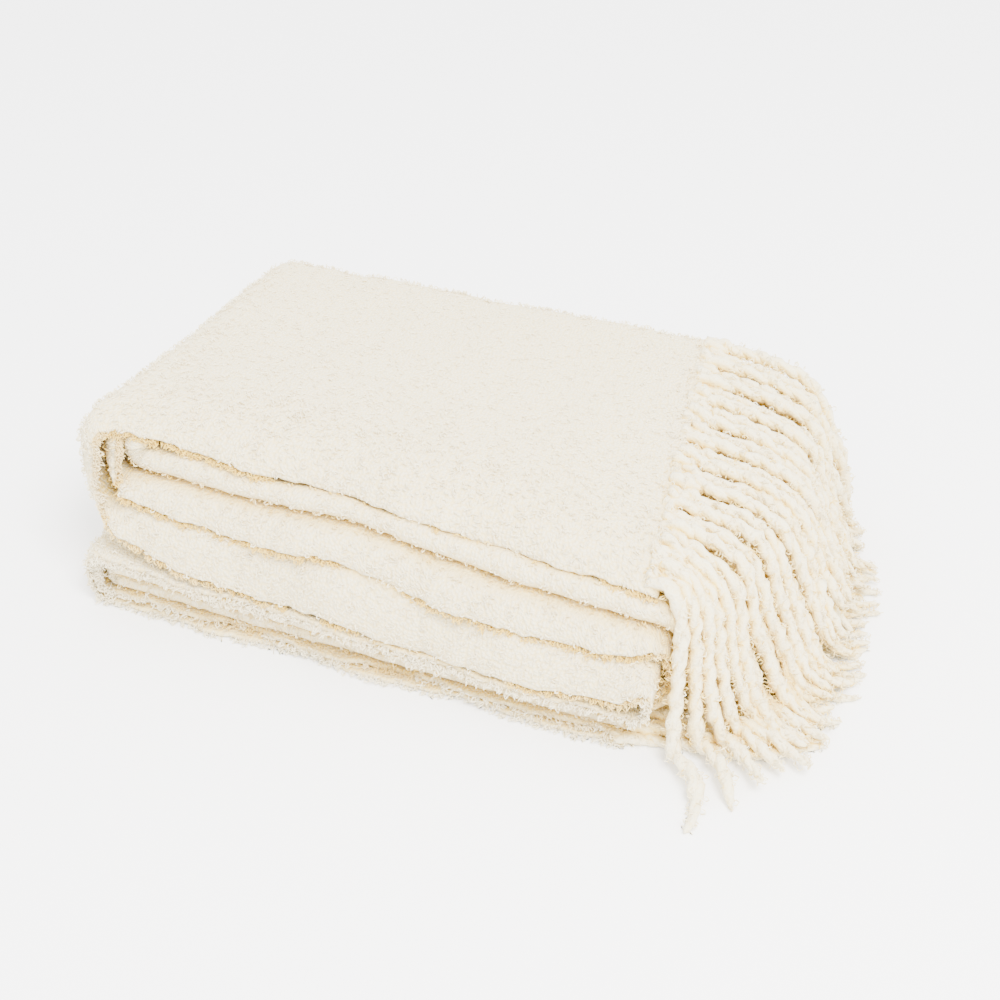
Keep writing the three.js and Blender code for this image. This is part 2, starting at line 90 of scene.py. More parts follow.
# How far out each strip reaches in the three turns, the ends of the first and the last pass, and the
# strip at each end that the fringe stands in, set against the length of a pass
TIPS = np.array([(-5, 11, 28, 46), (443, 450.5, 456.5, 463.5), (-2, 5, 12, 19)], float)
TOP_END = (428, 421, 418)
BASE_END = (414, 436, 412)
PASS_LENGTH, STRIP = 425.0, 11.0

# Unevenness: the selvedges' waves and droop, the step in the front face and the slow waves of the whole
LIP_ANGLE = 1.4
EDGE_WAVES = Sizes(reach=3, droop=2.5, length=150, calm_from=0.2, calm_over=0.3, inner_phase=2)
DROOP_ALONG = (0.7, 1, 0.72)
SHORT_DROOP = 5
STEP = Sizes(x=250, rise=4, width=30, depth=80, ceiling=150)
SURFACE_WAVE = Sizes(size=0.012, along_x=190, along_y=230, start=20)

# Depths of a strip's lines behind its bend or fold, and the small reaches that directions are taken over
DEPTH_STEPS = [20, 60, 120, 220]
LEAST_STEP = 8
NORMAL_REACH = 0.004
SLOPE_REACH = 0.01
TINY = 1e-9

# What only the scene has: finer steps, a hump in the front face, hills and ripples of the cloth, and
# the sheet's softer thickness
ACROSS_STEPS = [14, 26, 8, 10, 10, 10, 6, 8, 8]
ALONG_STEPS = [90, 40, 80, 30, 70, 20, 58]
HUMP = Sizes(x=200, rise=5.5, width=32)
HILLS = [Sizes(size=0.55, length=42, seed=1), Sizes(size=0.3, length=17, seed=2)]
HILL_WAVES = Sizes(number=9, length=(0.7, 1.5), share=3)
CURL = Sizes(waves=[(62, 0.34), (33, 0.3), (19, 0.26), (11.5, 0.2), (7.1, 0.12)],
             phase=2.4, wobble=0.9, wobble_rate=7.3)
RIPPLE = Sizes(lip_out=1.5, lip_down=1.2, fold_out=0.9, fold_down=0.5)
FRONT_FOLD = Sizes(at=4.5, reach=0.6)
PUFF = 2.15
RIDGE = Sizes(out=1.5, lowest=0.4)

# The strands, as in the part's source, and in the last three rows the locks that only the scene has
# between the top ones, where the photograph's fringe is closer. s is the strip, rank says how far out a
# strand falls and layer how high it lies on the floor. top and base give the first strand's depth and
# the number of strands, and sunk is how far below the strip's middle they begin.
STRAND_ROWS = [
    Sizes(s=0, rank=3, layer=0, top=(29, 12), base=(-9, 11), seed=0, sunk=0),
    Sizes(s=0, rank=3, layer=0, top=(41.6, 1), base=(0, 0), seed=0, sunk=0),
    Sizes(s=1, rank=2, layer=0, top=(66.8, 10), base=(5.8, 10), seed=0, sunk=0),
    Sizes(s=2, rank=1, layer=1, top=(60.2, 10), base=(-1.7, 10), seed=0, sunk=0),
    Sizes(s=3, rank=0, layer=1, top=(47.6, 11), base=(12.7, 10), seed=0, sunk=0),
    Sizes(s=0, rank=2.5, layer=0, top=(66.8, 10), base=(0, 0), seed=50, sunk=3.5),
    Sizes(s=0, rank=2.5, layer=0, top=(35.3, 1), base=(0, 0), seed=60, sunk=2),
    Sizes(s=0, rank=2.5, layer=0, top=(47.9, 1), base=(0, 0), seed=70, sunk=2),
]
STRAND_FOOT = 1.5
STRAND_LAYER = 5.1
TOP_GROUND = STRAND_FOOT + 2 * STRAND_LAYER
LENGTH_VARIATION = Sizes(size=9, per_strand=7, per_row=3)
SHOULDER = Sizes(x=440, z=60, lift=3, out=8, fall=1)
REACH = Sizes(front=6, open=97, start=27, over=130, power=0.62)
RANK_GAP = Sizes(front=2.8, open=4.6)
FOOT = Sizes(spread=(4, 50, 20), near=0.6, near_height=20)
LANDING = Sizes(start=1, near=12, far=25, near_drop=0.15, far_drop=0.65)
FAN_CORNER = Sizes(start=50, over=21)
FAN_GROWTH = Sizes(even=0.6, power=4)
SWAY = Sizes(size=2.5, length=70, per_depth=60)
OPEN_GROUND = Sizes(start=-36, over=14)

# How a lock of two twisted yarns differs from its plain strand in the solids
RINGS, SIDES = 60, 6
CURVE_STEPS, CURVE_POINTS, LEAST_KNOT = 24, 600, 1e-4
PITCH = (27, 38)
TAPER = Sizes(least=0.3, over=34)
ROOT_SWELL = Sizes(more=0.25, over=40)
ROOT_SPLAY = Sizes(apart=4.6, over=26)
TWIST_WAVE = Sizes(size=0.5, over=(14, 22))
LUMPS = Sizes(size=0.13, over=(5, 8), random=0.09, random_sides=0.08)
WANDER = Sizes(sizes=(2.2, 3.2, 1.4), turns=(5, 9))
BEND = 8

# A lock rests at a share of its radius, and its thin tip lies lower
RESTING_SHARE = 0.8
TIP = Sizes(start=0.85, over=0.15, height=0.6, size=0.25)
LOCK_LOWEST = 0.15

# Random phases lie within about a turn
WHOLE_TURN, MOST_OF_TURN = 6.3, 6

# How openness to the air is measured
CLOTH_RAYS = Sizes(number=14, reach=45)
STRAND_RAYS = Sizes(number=8, reach=30)
RAY_LIFT, RAY_LEAN = 0.8, 1.05
SEEDS = Sizes(rays=11, cloth=5, rim=6, order=3)

# Where the pile stands: at which u it is livelier, what lies on the ground, and how open a place has to
# be to show
LIVELY = Sizes(outer_end=2, inner_start=7.7, inner_over=0.6, folds=(2, 4, 6), in_folds=0.9, more=1.6)
GROUND = Sizes(height=1, facing=-0.6, facing_height=12)
SEEN = Sizes(least=0.12, always=0.4)
RIM = Sizes(least=0.1, nudge=1.2, lean=0.45)
CLOTH_LOOPS, RIM_LOOPS = 14500, 5500

# The loops of the pile and the fuzz. A loop has two feet and three rings of three points. Each ring
# has its place sideways, its height, and how much its outer point faces up.
PILE = Sizes(width=2.7, thick=0.48, seed=20)
PILE_HEIGHT = Sizes(calm=1.0, lively=2.3, rim=3.7)
TOP_FUZZ = Sizes(number=10500, width=3.4, height=2.8, thick=0.42, seed=31)
BASE_FUZZ = Sizes(number=5500, width=3.0, height=2.2, thick=0.38, seed=32)
LOOP_RINGS = ((-0.5, 0.55, 0.4), (0, 1, 1), (0.5, 0.55, 0.4))
# How much of its place's openness each point of a loop keeps, foot to foot: less at the feet and the
# back, which paints gold shade there
LOOP_SHADE_SHARES = [0.5, 0.9, 0.75, 0.75, 1, 0.9, 0.9, 0.9, 0.75, 0.75, 0.5]
LOOP_FACES = np.array([
    (0, 2, 1), (0, 3, 2), (0, 1, 3),
    (1, 2, 5), (1, 5, 4), (2, 3, 6), (2, 6, 5), (3, 1, 4), (3, 4, 6),
    (4, 5, 8), (4, 8, 7), (5, 6, 9), (5, 9, 8), (6, 4, 7), (6, 7, 9),
    (10, 7, 8), (10, 8, 9), (10, 9, 7),
])
LOOP_RANGES = Sizes(width=(0.6, 1.4), height=(0.5, 1.5), thick=(0.75, 1.25), lean=0.5)
LOOP_POINTS = Sizes(back=0.5, side=0.87, turned=2)
LOOP_FOOT = Sizes(apart=0.3, sunk=0.4)
LOOP_LOWEST = 0.05

# The wool's colours in open places, and the gold and straw painted as shade in its crevices and between
# the yarn's pebbles and lumps, straw also being its own tone in patches, and those of the floor and the
# light
CREAM = (0.82, 0.747, 0.54)
YARN_CREAM = (0.83, 0.757, 0.54)
SHADE_GOLD = (0.75, 0.5, 0.07)
YARN_SHADE_GOLD = (0.8, 0.565, 0.115)
STRAW_TONE_AND_SHADE = (0.82, 0.67, 0.34)
PAPER = (0.96, 0.96, 0.965)
WHITE = (1.0, 1.0, 1.0)
WARM_WHITE = (1.0, 0.99, 0.97)

# The camera stands at a point of the source and looks down and to the left, by angles in degrees. The
# floor and the light are in metres.
CAMERA = Sizes(place=(655.6, -817.3, 849.6), down=37.4, left=21.7, lens=61.2, sensor=36)
FLOOR = Sizes(half=6.0, below=0.0004)
KEY = Sizes(place=(1.0, -0.9, 2.2), target=(0, 0, 0), size=1.0, power=210)
SKY_STRENGTH = 4.3


def mix(a, b, t):
    return a + (b - a) * t


def clamp(t):
    return np.clip(t, 0, 1)


def smooth(t):
    c = clamp(t)
    return c * c * (3 - 2 * c)


def nearest(t):
    return np.floor(t + 0.5)


def along(row, x):
    """A parabola through the row's values at the left, middle and right of the stack."""
    t = clamp(x / LENGTH)
    return (1 - t) * (1 - 2 * t) * row[0] + 4 * t * (1 - t) * row[1] + t * (2 * t - 1) * row[2]


def from_front(row, y):
    """The same for values at the front, middle and back of the stack."""
    return along(row, y / DEPTH * LENGTH)


def between(rows, at):
    """The value at a place between the rows, which are arrays of one shape."""
    shape = np.broadcast(rows[0], at).shape
    at = np.broadcast_to(at, shape)
    low = np.clip(np.floor(at), 0, len(rows) - 2).astype(int)
    table = np.stack([np.broadcast_to(r, shape) for r in rows])
    a = np.take_along_axis(table, low[None], 0)[0]
    b = np.take_along_axis(table, low[None] + 1, 0)[0]
    return mix(a, b, at - low)


def unit(vectors, least=0.0):
    """The vectors at length 1, or shorter where they are shorter than the least length."""
    return vectors / np.maximum(np.linalg.norm(vectors, axis=-1, keepdims=True), least)


def run_along(line):
    """How far each point of a line lies from its start."""
    return np.concatenate([[0], np.cumsum(np.linalg.norm(np.diff(line, axis=0), axis=1))])


# The folded sheet
def top_height(x, y):
    """The height of the stack behind its front."""
    t = clamp(x / LENGTH) ** TOP_SAG_POWER
    depth = clamp(y / DEPTH)
    left = mix(TOP_CORNERS.front_left, TOP_CORNERS.back_left, depth)
    right = mix(TOP_CORNERS.front_right, TOP_CORNERS.back_right, depth)
    return mix(left, right, t)


def ply_height(ply, x, y):
    """The height of the middle of a ply, counted from 0 on top, which may lie between two."""
    lower = along(LOWER_FRONT, x)
    rows = [along(r, x) for r in FRONT] + [HALF + (LAST - LOWER) * lower]
    upper = between(rows, ply) - HALF * clamp(1 - ply)
    front = np.where(ply >= LOWER, HALF + (LAST - ply) * lower, upper)
    foot = HALF + (LAST - LOWER) * LOWER_PLY
    inside = foot + (top_height(x, y) - HALF - foot) * (LOWER - ply) / LOWER
    inside = np.where(ply >= LOWER, HALF + (LAST - ply) * LOWER_PLY, inside)
    start = np.where(ply > LOWER - 1, LEVELLING.lower_from, LEVELLING.upper_from)
    span = mix(LEVELLING.top_over, LEVELLING.over, clamp(ply))
    return mix(front, inside, smooth((y - start) / span))


def ply_of(run, s):
    """The ply of a strip in a pass, which is turned over in every second one."""
    return 4 * run + np.where(run % 2 == 1, 3 - s, s)


def nearest_pass(v):
    return nearest(np.clip(v, 0, ZONE_COUNT) / 2 - 0.25)


def zone_value(v, column):
    """A column's value along v: held over each pass, and changing smoothly through the turns."""
    row = ZONES[column]
    held = row[(2 * nearest_pass(v)).astype(int)]
    turn = 2 * nearest((v - 1.5) / 2) + 1
    away = np.abs(v - turn - 0.5) / (TURN_REACH + 0.5)
    turned = mix(held, row[np.clip(turn, 0, ZONE_COUNT - 1).astype(int)], smooth(1 - away))
    return np.where((turn < 1) | (turn >= ZONE_COUNT - 1) | (away >= 1), held, turned)


def turn_shape(turn, s, y):
    """Where a turn starts, the side that it lies on and its radius."""
    turn = np.clip(turn, 0, 2).astype(int)
    tip = between([TIPS[turn, k] for k in range(4)], s)
    top = ply_height(ply_of(turn, s), tip, y)
    bottom = ply_height(ply_of(turn + 1, s), tip, y)
    radius = (top - bottom) / 2
    side = np.where(turn == 1, 1.0, -1.0)
    return tip - side * radius, side, radius


def bundle_point(v, s, y):
    """Where a strip of the bundle is, left to right and in height, seen from the front."""
    zone = np.clip(np.floor(v), 0, ZONE_COUNT - 1)
    t = v - zone
    turn = (zone - 1) / 2
    start, side, radius = turn_shape(turn, s, y)
    out, up = np.sin(np.pi * t), np.cos(np.pi * t)
    size = (np.abs(out) ** SQUARENESS + np.abs(up) ** SQUARENESS) ** (1 / SQUARENESS)
    safe = np.clip(turn, 0, 2)
    top = ply_height(ply_of(safe, s), start, y)
    bottom = ply_height(ply_of(safe + 1, s), start, y)
    turn_x = start + side * radius * out / size
    turn_z = (top + bottom) / 2 + (top - bottom) / 2 * up / size
    run = np.floor(zone / 2)
    begin = np.where(zone == 0, from_front(TOP_END, y), turn_shape(run - 1, s, y)[0])
    end = np.where(zone == ZONE_COUNT - 1, from_front(BASE_END, y), turn_shape(run, s, y)[0])
    pass_x = mix(begin, end, t)
    pass_z = ply_height(ply_of(run, s), pass_x, y)
    turning = zone % 2 == 1
    return np.where(turning, turn_x, pass_x), np.where(turning, turn_z, pass_z)


def fold_radius(v, s_a, s_b, y):
    """Half the distance between two strips that a lengthwise fold joins, square to the cloth."""
    ax, az = bundle_point(v, s_a, y)
    bx, bz = bundle_point(v, s_b, y)
    lx, lz = bundle_point(v - SLOPE_REACH, s_a, y)
    hx, hz = bundle_point(v + SLOPE_REACH, s_a, y)
    area = (bx - ax) * (hz - lz) - (bz - az) * (hx - lx)
    return np.abs(area) / np.hypot(hx - lx, hz - lz) / 2


def edge_wave(v, phase):
    """A selvedge's wave, which is calm in the turns."""
    from_middle = np.abs(v - 2 * nearest_pass(v) - 0.5)
    lively = 1 - smooth((from_middle - EDGE_WAVES.calm_from) / EDGE_WAVES.calm_over)
    return lively * np.sin(2 * np.pi * v * LENGTH / EDGE_WAVES.length + phase)


def lip(v, part, s, t):
    """The strip, depth and fall of a drooping selvedge, from its bend at t = 0 to its edge at 1."""
    wave = edge_wave(v, 0 if part == "outer" else EDGE_WAVES.inner_phase)
    run = nearest_pass(v)
    share = clamp(v - 2 * run)
    x = LENGTH * np.where(run % 2 == 0, 1 - share, share)
    edge = zone_value(v, part) - EDGE_WAVES.reach * wave
    bend = zone_value(v, part + "Bend")
    drop = zone_value(v, part + "Drop")
    angle = LIP_ANGLE * t
    slack = np.where(drop > SHORT_DROOP, EDGE_WAVES.droop * (1 + wave) / 2, 0)
    fall = (drop - slack) * along(DROOP_ALONG, x)
    bent = (1 - np.cos(angle)) / (1 - math.cos(LIP_ANGLE))
    return (s + zone_value(v, part + "Curl") * bent,
            bend - (bend - edge) * np.sin(angle) / math.sin(LIP_ANGLE), fall * bent)


def strip_depth(t, front, back):
    """Depths over a strip, closest together near its front, where the plies bend most."""
    middle = [np.maximum(d, front + LEAST_STEP * (i + 1)) for i, d in enumerate(DEPTH_STEPS)]
    return between([front, *middle, back], t * (len(DEPTH_STEPS) + 1))


def across(u, v):
    """The strip, the depth and the fall of the sheet's points.

    Along u come a lip, a strip, a fold, a strip and so on, to the other lip.
    """
    part = np.clip(np.floor(u), 0, PART_COUNT - 1)
    t = u - part
    back, back_inner, front = (zone_value(v, c) for c in ("back", "backInner", "front"))
    outer_round = fold_radius(v, 0.0, 3.0, back)
    inner_round = fold_radius(v, 1.0, 2.0, back_inner)
    front_round = fold_radius(v, 2.0, 3.0, front)
    back_end, inner_end, front_end = back - outer_round, back_inner - inner_round, front + front_round
    outer_lip, inner_lip = lip(v, "outer", 0, 1 - t), lip(v, "inner", 1, t)
    c, bulge = np.cos(np.pi * t), np.sin(np.pi * t)
    zero = np.zeros(np.broadcast(u, v).shape)
    s = [outer_lip[0] + zero, zero, 1.5 - 1.5 * c + zero, zero + 3, 2.5 + 0.5 * c + zero, zero + 2,
         1.5 + 0.5 * c + zero, zero + 1, inner_lip[0] + zero]
    y = [outer_lip[1] + zero, strip_depth(t, zone_value(v, "outerBend"), back_end) + zero,
         back_end + outer_round * bulge, strip_depth(1 - t, front_end, back_end) + zero,
         front_end - front_round * bulge, strip_depth(t, front_end, inner_end) + zero,
         inner_end + inner_round * bulge,
         strip_depth(1 - t, zone_value(v, "innerBend"), inner_end) + zero, inner_lip[1] + zero]
    fall = [outer_lip[2] + zero] + [zero] * (PART_COUNT - 2) + [inner_lip[2] + zero]
    part = np.broadcast_to(part, zero.shape).astype(int)
    return [np.take_along_axis(np.stack(rows), part[None], 0)[0] for rows in (s, y, fall)]


def sheet_point(u, v):
    """Points of the sheet's middle, before they settle."""
    s, y, fall = across(u, v)
    x, z = bundle_point(np.broadcast_to(v, s.shape), s, y)
    return np.stack([x, y, z - fall], -1)


def settle(p):
    """Gives points the step and the hump of the front face, the slow waves and the taper to the back."""
    x, y, z = p[..., 0], p[..., 1], p[..., 2]
    lift = clamp(z / SURFACE_WAVE.start)
    front = smooth(1 - y / STEP.depth)
    body = np.sin(np.pi * clamp(z / STEP.ceiling)) ** 2
    hump = HUMP.rise * np.exp(-((x - HUMP.x) / HUMP.width) ** 2)
    rise = (hump - STEP.rise * np.tanh((x - STEP.x) / STEP.width)) * front * body
    wave = np.sin(2 * np.pi * x / SURFACE_WAVE.along_x) * np.cos(2 * np.pi * y / SURFACE_WAVE.along_y)
    return np.stack([x * (1 - TAPER_TO_BACK * clamp(y / DEPTH)), y,
                     z * (1 + SURFACE_WAVE.size * wave * lift) + rise], -1)


def curl(v, seed):
    """A lively, uneven wave along the cloth, from about -1 to 1."""
    total = 0
    for k, (length, size) in enumerate(CURL.waves):
        wobble = CURL.wobble * np.sin(v * CURL.wobble_rate * (k + 1) + seed)
        total = total + size * np.sin(2 * np.pi * v * LENGTH / length + CURL.phase * k + seed + wobble)
    return total


def uneven(p, scale, seed):
    """Soft random hills over the cloth, from about -1 to 1, from crossing waves."""
    r = np.random.default_rng(seed)
    total = 0
    for _ in range(HILL_WAVES.number):
        direction = r.normal(size=3)
        direction /= np.linalg.norm(direction)
        length = scale * r.uniform(*HILL_WAVES.length)
        total = total + np.sin(p @ direction * 2 * np.pi / length + r.uniform(0, WHOLE_TURN))
    return total / HILL_WAVES.share


def lengths_across(p):
    """How far each point lies from the sheet's first edge, across the cloth."""
    steps = np.linalg.norm(np.diff(p, axis=1), axis=-1)
    return np.concatenate([np.zeros((len(p), 1)), np.cumsum(steps, axis=1)], 1)


def lengths_along(p):
    """How far each row of points lies from the cloth's first end, on average."""
    steps = np.linalg.norm(np.diff(p, axis=0), axis=-1).mean(1)
    return np.concatenate([[0], np.cumsum(steps)])


def sheet_grid(us, vs):
    """The points of the sheet's middle, and the outward directions there."""
    u, v = us[None, :], vs[:, None]
    p = sheet_point(u, v)
    along_u = sheet_point(u + NORMAL_REACH, v) - sheet_point(u - NORMAL_REACH, v)
    along_v = sheet_point(u, v + NORMAL_REACH) - sheet_point(u, v - NORMAL_REACH)
    return p, unit(np.cross(along_u, along_v))


def fine_sheet(middle, normal):
    """The sheet with its hills, and with ripples along its selvedges and its fold in front."""
    u, v = us[None, :], vs[:, None]
    flat = np.stack([lengths_across(middle), lengths_along(middle)[:, None] + 0 * u, 0 * u * v], -1)
    hills = sum(hill.size * uneven(flat, hill.length, hill.seed) for hill in HILLS)
    p = middle + normal * hills[..., None]
    outer_lip = smooth(1 - u)
    inner_lip = smooth(u - (PART_COUNT - 1))
    fold = smooth(1 - np.abs(u - FRONT_FOLD.at) / FRONT_FOLD.reach)
    out = outer_lip * curl(v, 0) + inner_lip * curl(v, 2)
    down = outer_lip * curl(v, 1) + inner_lip * curl(v, 3)
    p[..., 1] -= RIPPLE.lip_out * out + RIPPLE.fold_out * fold * curl(v, 4)
    p[..., 2] -= RIPPLE.lip_down * down + RIPPLE.fold_down * fold * curl(v, 5)
    return p


def spread(spans):
    """Values of u or v, with the given number of steps in each part."""
    return np.concatenate([[0.0]] + [k + np.arange(1, n + 1) / n for k, n in enumerate(spans)])


def with_strips(vs):
    """The same, with the narrow strip at each end that the fringe stands in."""
    reach = STRIP / PASS_LENGTH
    return np.concatenate([[-reach, -reach / 2], vs, [ZONE_COUNT + reach / 2, ZONE_COUNT + reach]])


def make_mesh(name, points, faces, smooth_shade=True):
    """An object from points in millimetres and faces of three or four corners."""
    mesh = bpy.data.meshes.new(name)
    faces = np.asarray(faces)
    mesh.vertices.add(len(points))
    mesh.vertices.foreach_set("co", ((points + SHIFT) / METRE).astype(np.float32).ravel())
    count, corners = faces.shape
    mesh.loops.add(count * corners)
    mesh.loops.foreach_set("vertex_index", faces.ravel().astype(np.int32))
    mesh.polygons.add(count)
    mesh.polygons.foreach_set("loop_start", np.arange(0, count * corners, corners, dtype=np.int32))
    mesh.polygons.foreach_set("use_smooth", np.full(count, smooth_shade))
    mesh.update(calc_edges=True)
    mesh.validate()
    obj = bpy.data.objects.new(name, mesh)
    bpy.context.collection.objects.link(obj)
    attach(obj, "root")
    return obj


def make_camera():
    data = bpy.data.cameras.new("camera")
    data.lens, data.sensor_width = CAMERA.lens, CAMERA.sensor
    camera = bpy.data.objects.new("camera", data)
    bpy.context.collection.objects.link(camera)
    e, a = math.radians(CAMERA.down), math.radians(CAMERA.left)
    back = Vector((math.sin(a) * math.cos(e), -math.cos(a) * math.cos(e), math.sin(e)))
    camera.location = Vector((np.array(CAMERA.place) + SHIFT) / METRE)
    camera.rotation_mode = "QUATERNION"
    camera.rotation_quaternion = (-back).to_track_quat("-Z", "Y")
    bpy.context.scene.camera = camera


make_camera()

# The cloth: the sheet's two sides, in rows along v and columns along u
us = spread(ACROSS_STEPS)
vs = with_strips(spread(ALONG_STEPS))
middle, normal = sheet_grid(us, vs)
middle = fine_sheet(middle, normal)
rows, columns = middle.shape[:2]
count = rows * columns
sides = []
for sign in (1, -1):
    p = settle(middle + sign * PUFF * normal)
    p[..., 2] = np.maximum(p[..., 2], 0)
    sides.append(p)
index = np.arange(count).reshape(rows, columns)
a, b, c, d = index[:-1, :-1], index[:-1, 1:], index[1:, 1:], index[1:, :-1]
front_faces = np.stack([a, b, c, d], -1).reshape(-1, 4)
back_faces = np.stack([a, d, c, b], -1).reshape(-1, 4) + count


def ridge_line(edge, inner):
    """The outermost points of a rim, and the directions that they face."""
    outward = unit(middle[edge] - middle[inner])
    ridge = settle(middle[edge] + RIDGE.out * outward)
    ridge[:, 2] = np.maximum(ridge[:, 2], RIDGE.lowest)
    return ridge, outward


# The rims of the two ends and the two selvedges: each is a ridge, and a band of faces to either side
RIMS = [(np.s_[0, :], np.s_[1, :], True), (np.s_[-1, :], np.s_[-2, :], False),
        (np.s_[:, 0], np.s_[:, 1], False), (np.s_[:, -1], np.s_[:, -2], True)]
rim_faces, rim_places, rim_ways, starts = [], [], [], []
start = 2 * count
for edge, inner, turned in RIMS:
    ridge, outward = ridge_line(edge, inner)
    line, ids = index[edge], start + np.arange(len(ridge))
    top = np.stack([line[:-1], line[1:], ids[1:], ids[:-1]], -1)
    low = np.stack([ids[:-1], ids[1:], line[1:] + count, line[:-1] + count], -1)
    rim_faces += [band[:, ::-1] if turned else band for band in (top, low)]
    rim_places.append(ridge)
    rim_ways.append(outward)
    starts.append(start)
    start += len(ridge)
points = np.concatenate([side.reshape(-1, 3) for side in sides] + rim_places)
rim_places, rim_ways = np.vstack(rim_places), np.vstack(rim_ways)

# Each corner of the sheet is the meeting point of two ridges
first_end, last_end, outer, inner = starts
meetings = [(first_end, outer), (first_end + columns - 1, inner),
            (last_end, outer + rows - 1), (last_end + columns - 1, inner + rows - 1)]
merge = np.arange(len(points))
for one, two in meetings:
    merge[two] = one
    points[one] = (points[one] + points[two]) / 2
faces = merge[np.concatenate([front_faces, back_faces, *rim_faces])]
used = np.unique(faces)
renumber = np.zeros(len(points), int)
renumber[used] = np.arange(len(used))
faces, points = renumber[faces], points[used]
cloth = make_mesh("boucle_cloth_sheet", points, faces)
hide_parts("throw_cloth")


# Strands
def curve_points(points, count):
    """Evenly spaced points of a centripetal Catmull-Rom curve, and its length."""
    p = np.array(points, float)
    p = np.vstack([2 * p[0] - p[1], p, 2 * p[-1] - p[-2]])
    t = np.linspace(0, 1, CURVE_STEPS, endpoint=False)[:, None]
    out = []
    for k in range(1, len(p) - 2):
        p0, p1, p2, p3 = p[k - 1:k + 3]
        pairs = ((p0, p1), (p1, p2), (p2, p3))
        d0, d1, d2 = (max(LEAST_KNOT, np.linalg.norm(b - a) ** 0.5) for a, b in pairs)
        m1 = ((p1 - p0) / d0 - (p2 - p0) / (d0 + d1) + (p2 - p1) / d1) * d1
        m2 = ((p2 - p1) / d1 - (p3 - p1) / (d1 + d2) + (p3 - p2) / d2) * d1
        out.append(p1 + m1 * t + (-3 * p1 + 3 * p2 - 2 * m1 - m2) * t ** 2
                   + (2 * p1 - 2 * p2 + m1 + m2) * t ** 3)
    out = np.vstack([*out, p[-2]])
    run = run_along(out)
    at = np.linspace(0, run[-1], count)
    return np.stack([np.interp(at, run, out[:, i]) for i in range(p.shape[1])], -1), run[-1]


def root_height(end, x, s, y):
    """The height of a strand's root, which goes down with the drooping selvedge."""
    height = float(ply_height(ply_of(np.array(end.run), np.array(float(s))), np.array(x), np.array(y)))
    v = np.array(end.v)
    edge, bend, drop = (float(zone_value(v, "outer" + what)) for what in ("", "Bend", "Drop"))
    if s > 0 or y > bend:
        return height
    share = min(1, max(0, (bend - y) / (bend - edge)))
    angle = math.asin(share * math.sin(LIP_ANGLE))
    fall = drop * float(along(DROOP_ALONG, np.array(x)))
    return height - fall * (1 - math.cos(angle)) / (1 - math.cos(LIP_ANGLE))


def top_route(row, x, z, y):
    """A top strand's way, seen from the front: off the end, over the stack's shoulder and down."""
    t = min(1, max(0, (y - REACH.start) / REACH.over)) ** REACH.power
    reach = mix(REACH.front, REACH.open, t) + mix(RANK_GAP.front, RANK_GAP.open, t) * row.rank
    side = SHOULDER.x + reach
    foot = float(from_front(FOOT.spread, y))
    diagonal = math.sqrt(0.5)
    return [(x + STRIP / 2, z), (min(x + (STRIP + SHOULDER.out), side), z - SHOULDER.fall),
            (SHOULDER.x + reach * diagonal, SHOULDER.z + (z - SHOULDER.z) * diagonal + SHOULDER.lift),
            (side, SHOULDER.z), (side + FOOT.near * foot, FOOT.near_height), (side + foot, TOP_GROUND)]


def base_route(row, x, z, y):
    """A base strand's way, from the end down to its layer on the floor."""
    lowest = STRAND_FOOT + row.layer * STRAND_LAYER
    drop = max(0, z - lowest)
    return [(x + STRIP / 2, z), (x + (STRIP + LANDING.start), z - drop * LANDING.near_drop),
            (x + (STRIP + LANDING.near), z - drop * LANDING.far_drop),
            (x + (STRIP + LANDING.far), lowest)]


def strand_line(route, y, length, end):
    """A strand's middle line: its route, and then along the floor, fanned out and swaying."""
    last = route[-1]
    on_floor = [(last[0] + length / 2, last[1]), (last[0] + length, last[1])]
    fine, total = curve_points([*route, *on_floor], CURVE_POINTS)
    t = np.linspace(0, 1, RINGS)
    run = np.linspace(0, total, len(fine))
    flat = np.stack([np.interp(t * length, run, fine[:, k]) for k in range(2)], -1)
    at_corner = min(1, max(0, (FAN_CORNER.start - y) / FAN_CORNER.over))
    whole = float(from_front(end.fan, y)) + end.fan_corner * at_corner
    sideways = whole * (FAN_GROWTH.even * t + (1 - FAN_GROWTH.even) * t ** FAN_GROWTH.power)
    swing = SWAY.size * t * np.sin(2 * np.pi * t * length / SWAY.length + y / SWAY.per_depth + end.run)
    line = np.stack([flat[:, 0] - sideways ** 2 / length, y + sideways + swing,
                     np.maximum(last[1], flat[:, 1])], -1)
    return settle(line)


def bare_floor(y):
    """From 0, where the top strands lie on the base fringe, to 1 in front of it, on the floor."""
    return smooth((OPEN_GROUND.start - y) / OPEN_GROUND.over)


def lay_down(p):
    """Lets a top strand down to the floor where the floor is bare."""
    lowest = mix(TOP_GROUND, STRAND_FOOT, bare_floor(p[:, 1]))
    share = (p[:, 2] - TOP_GROUND) / (SHOULDER.z - TOP_GROUND)
    q = p.copy()
    q[:, 2] = mix(lowest, SHOULDER.z, share)
    return q


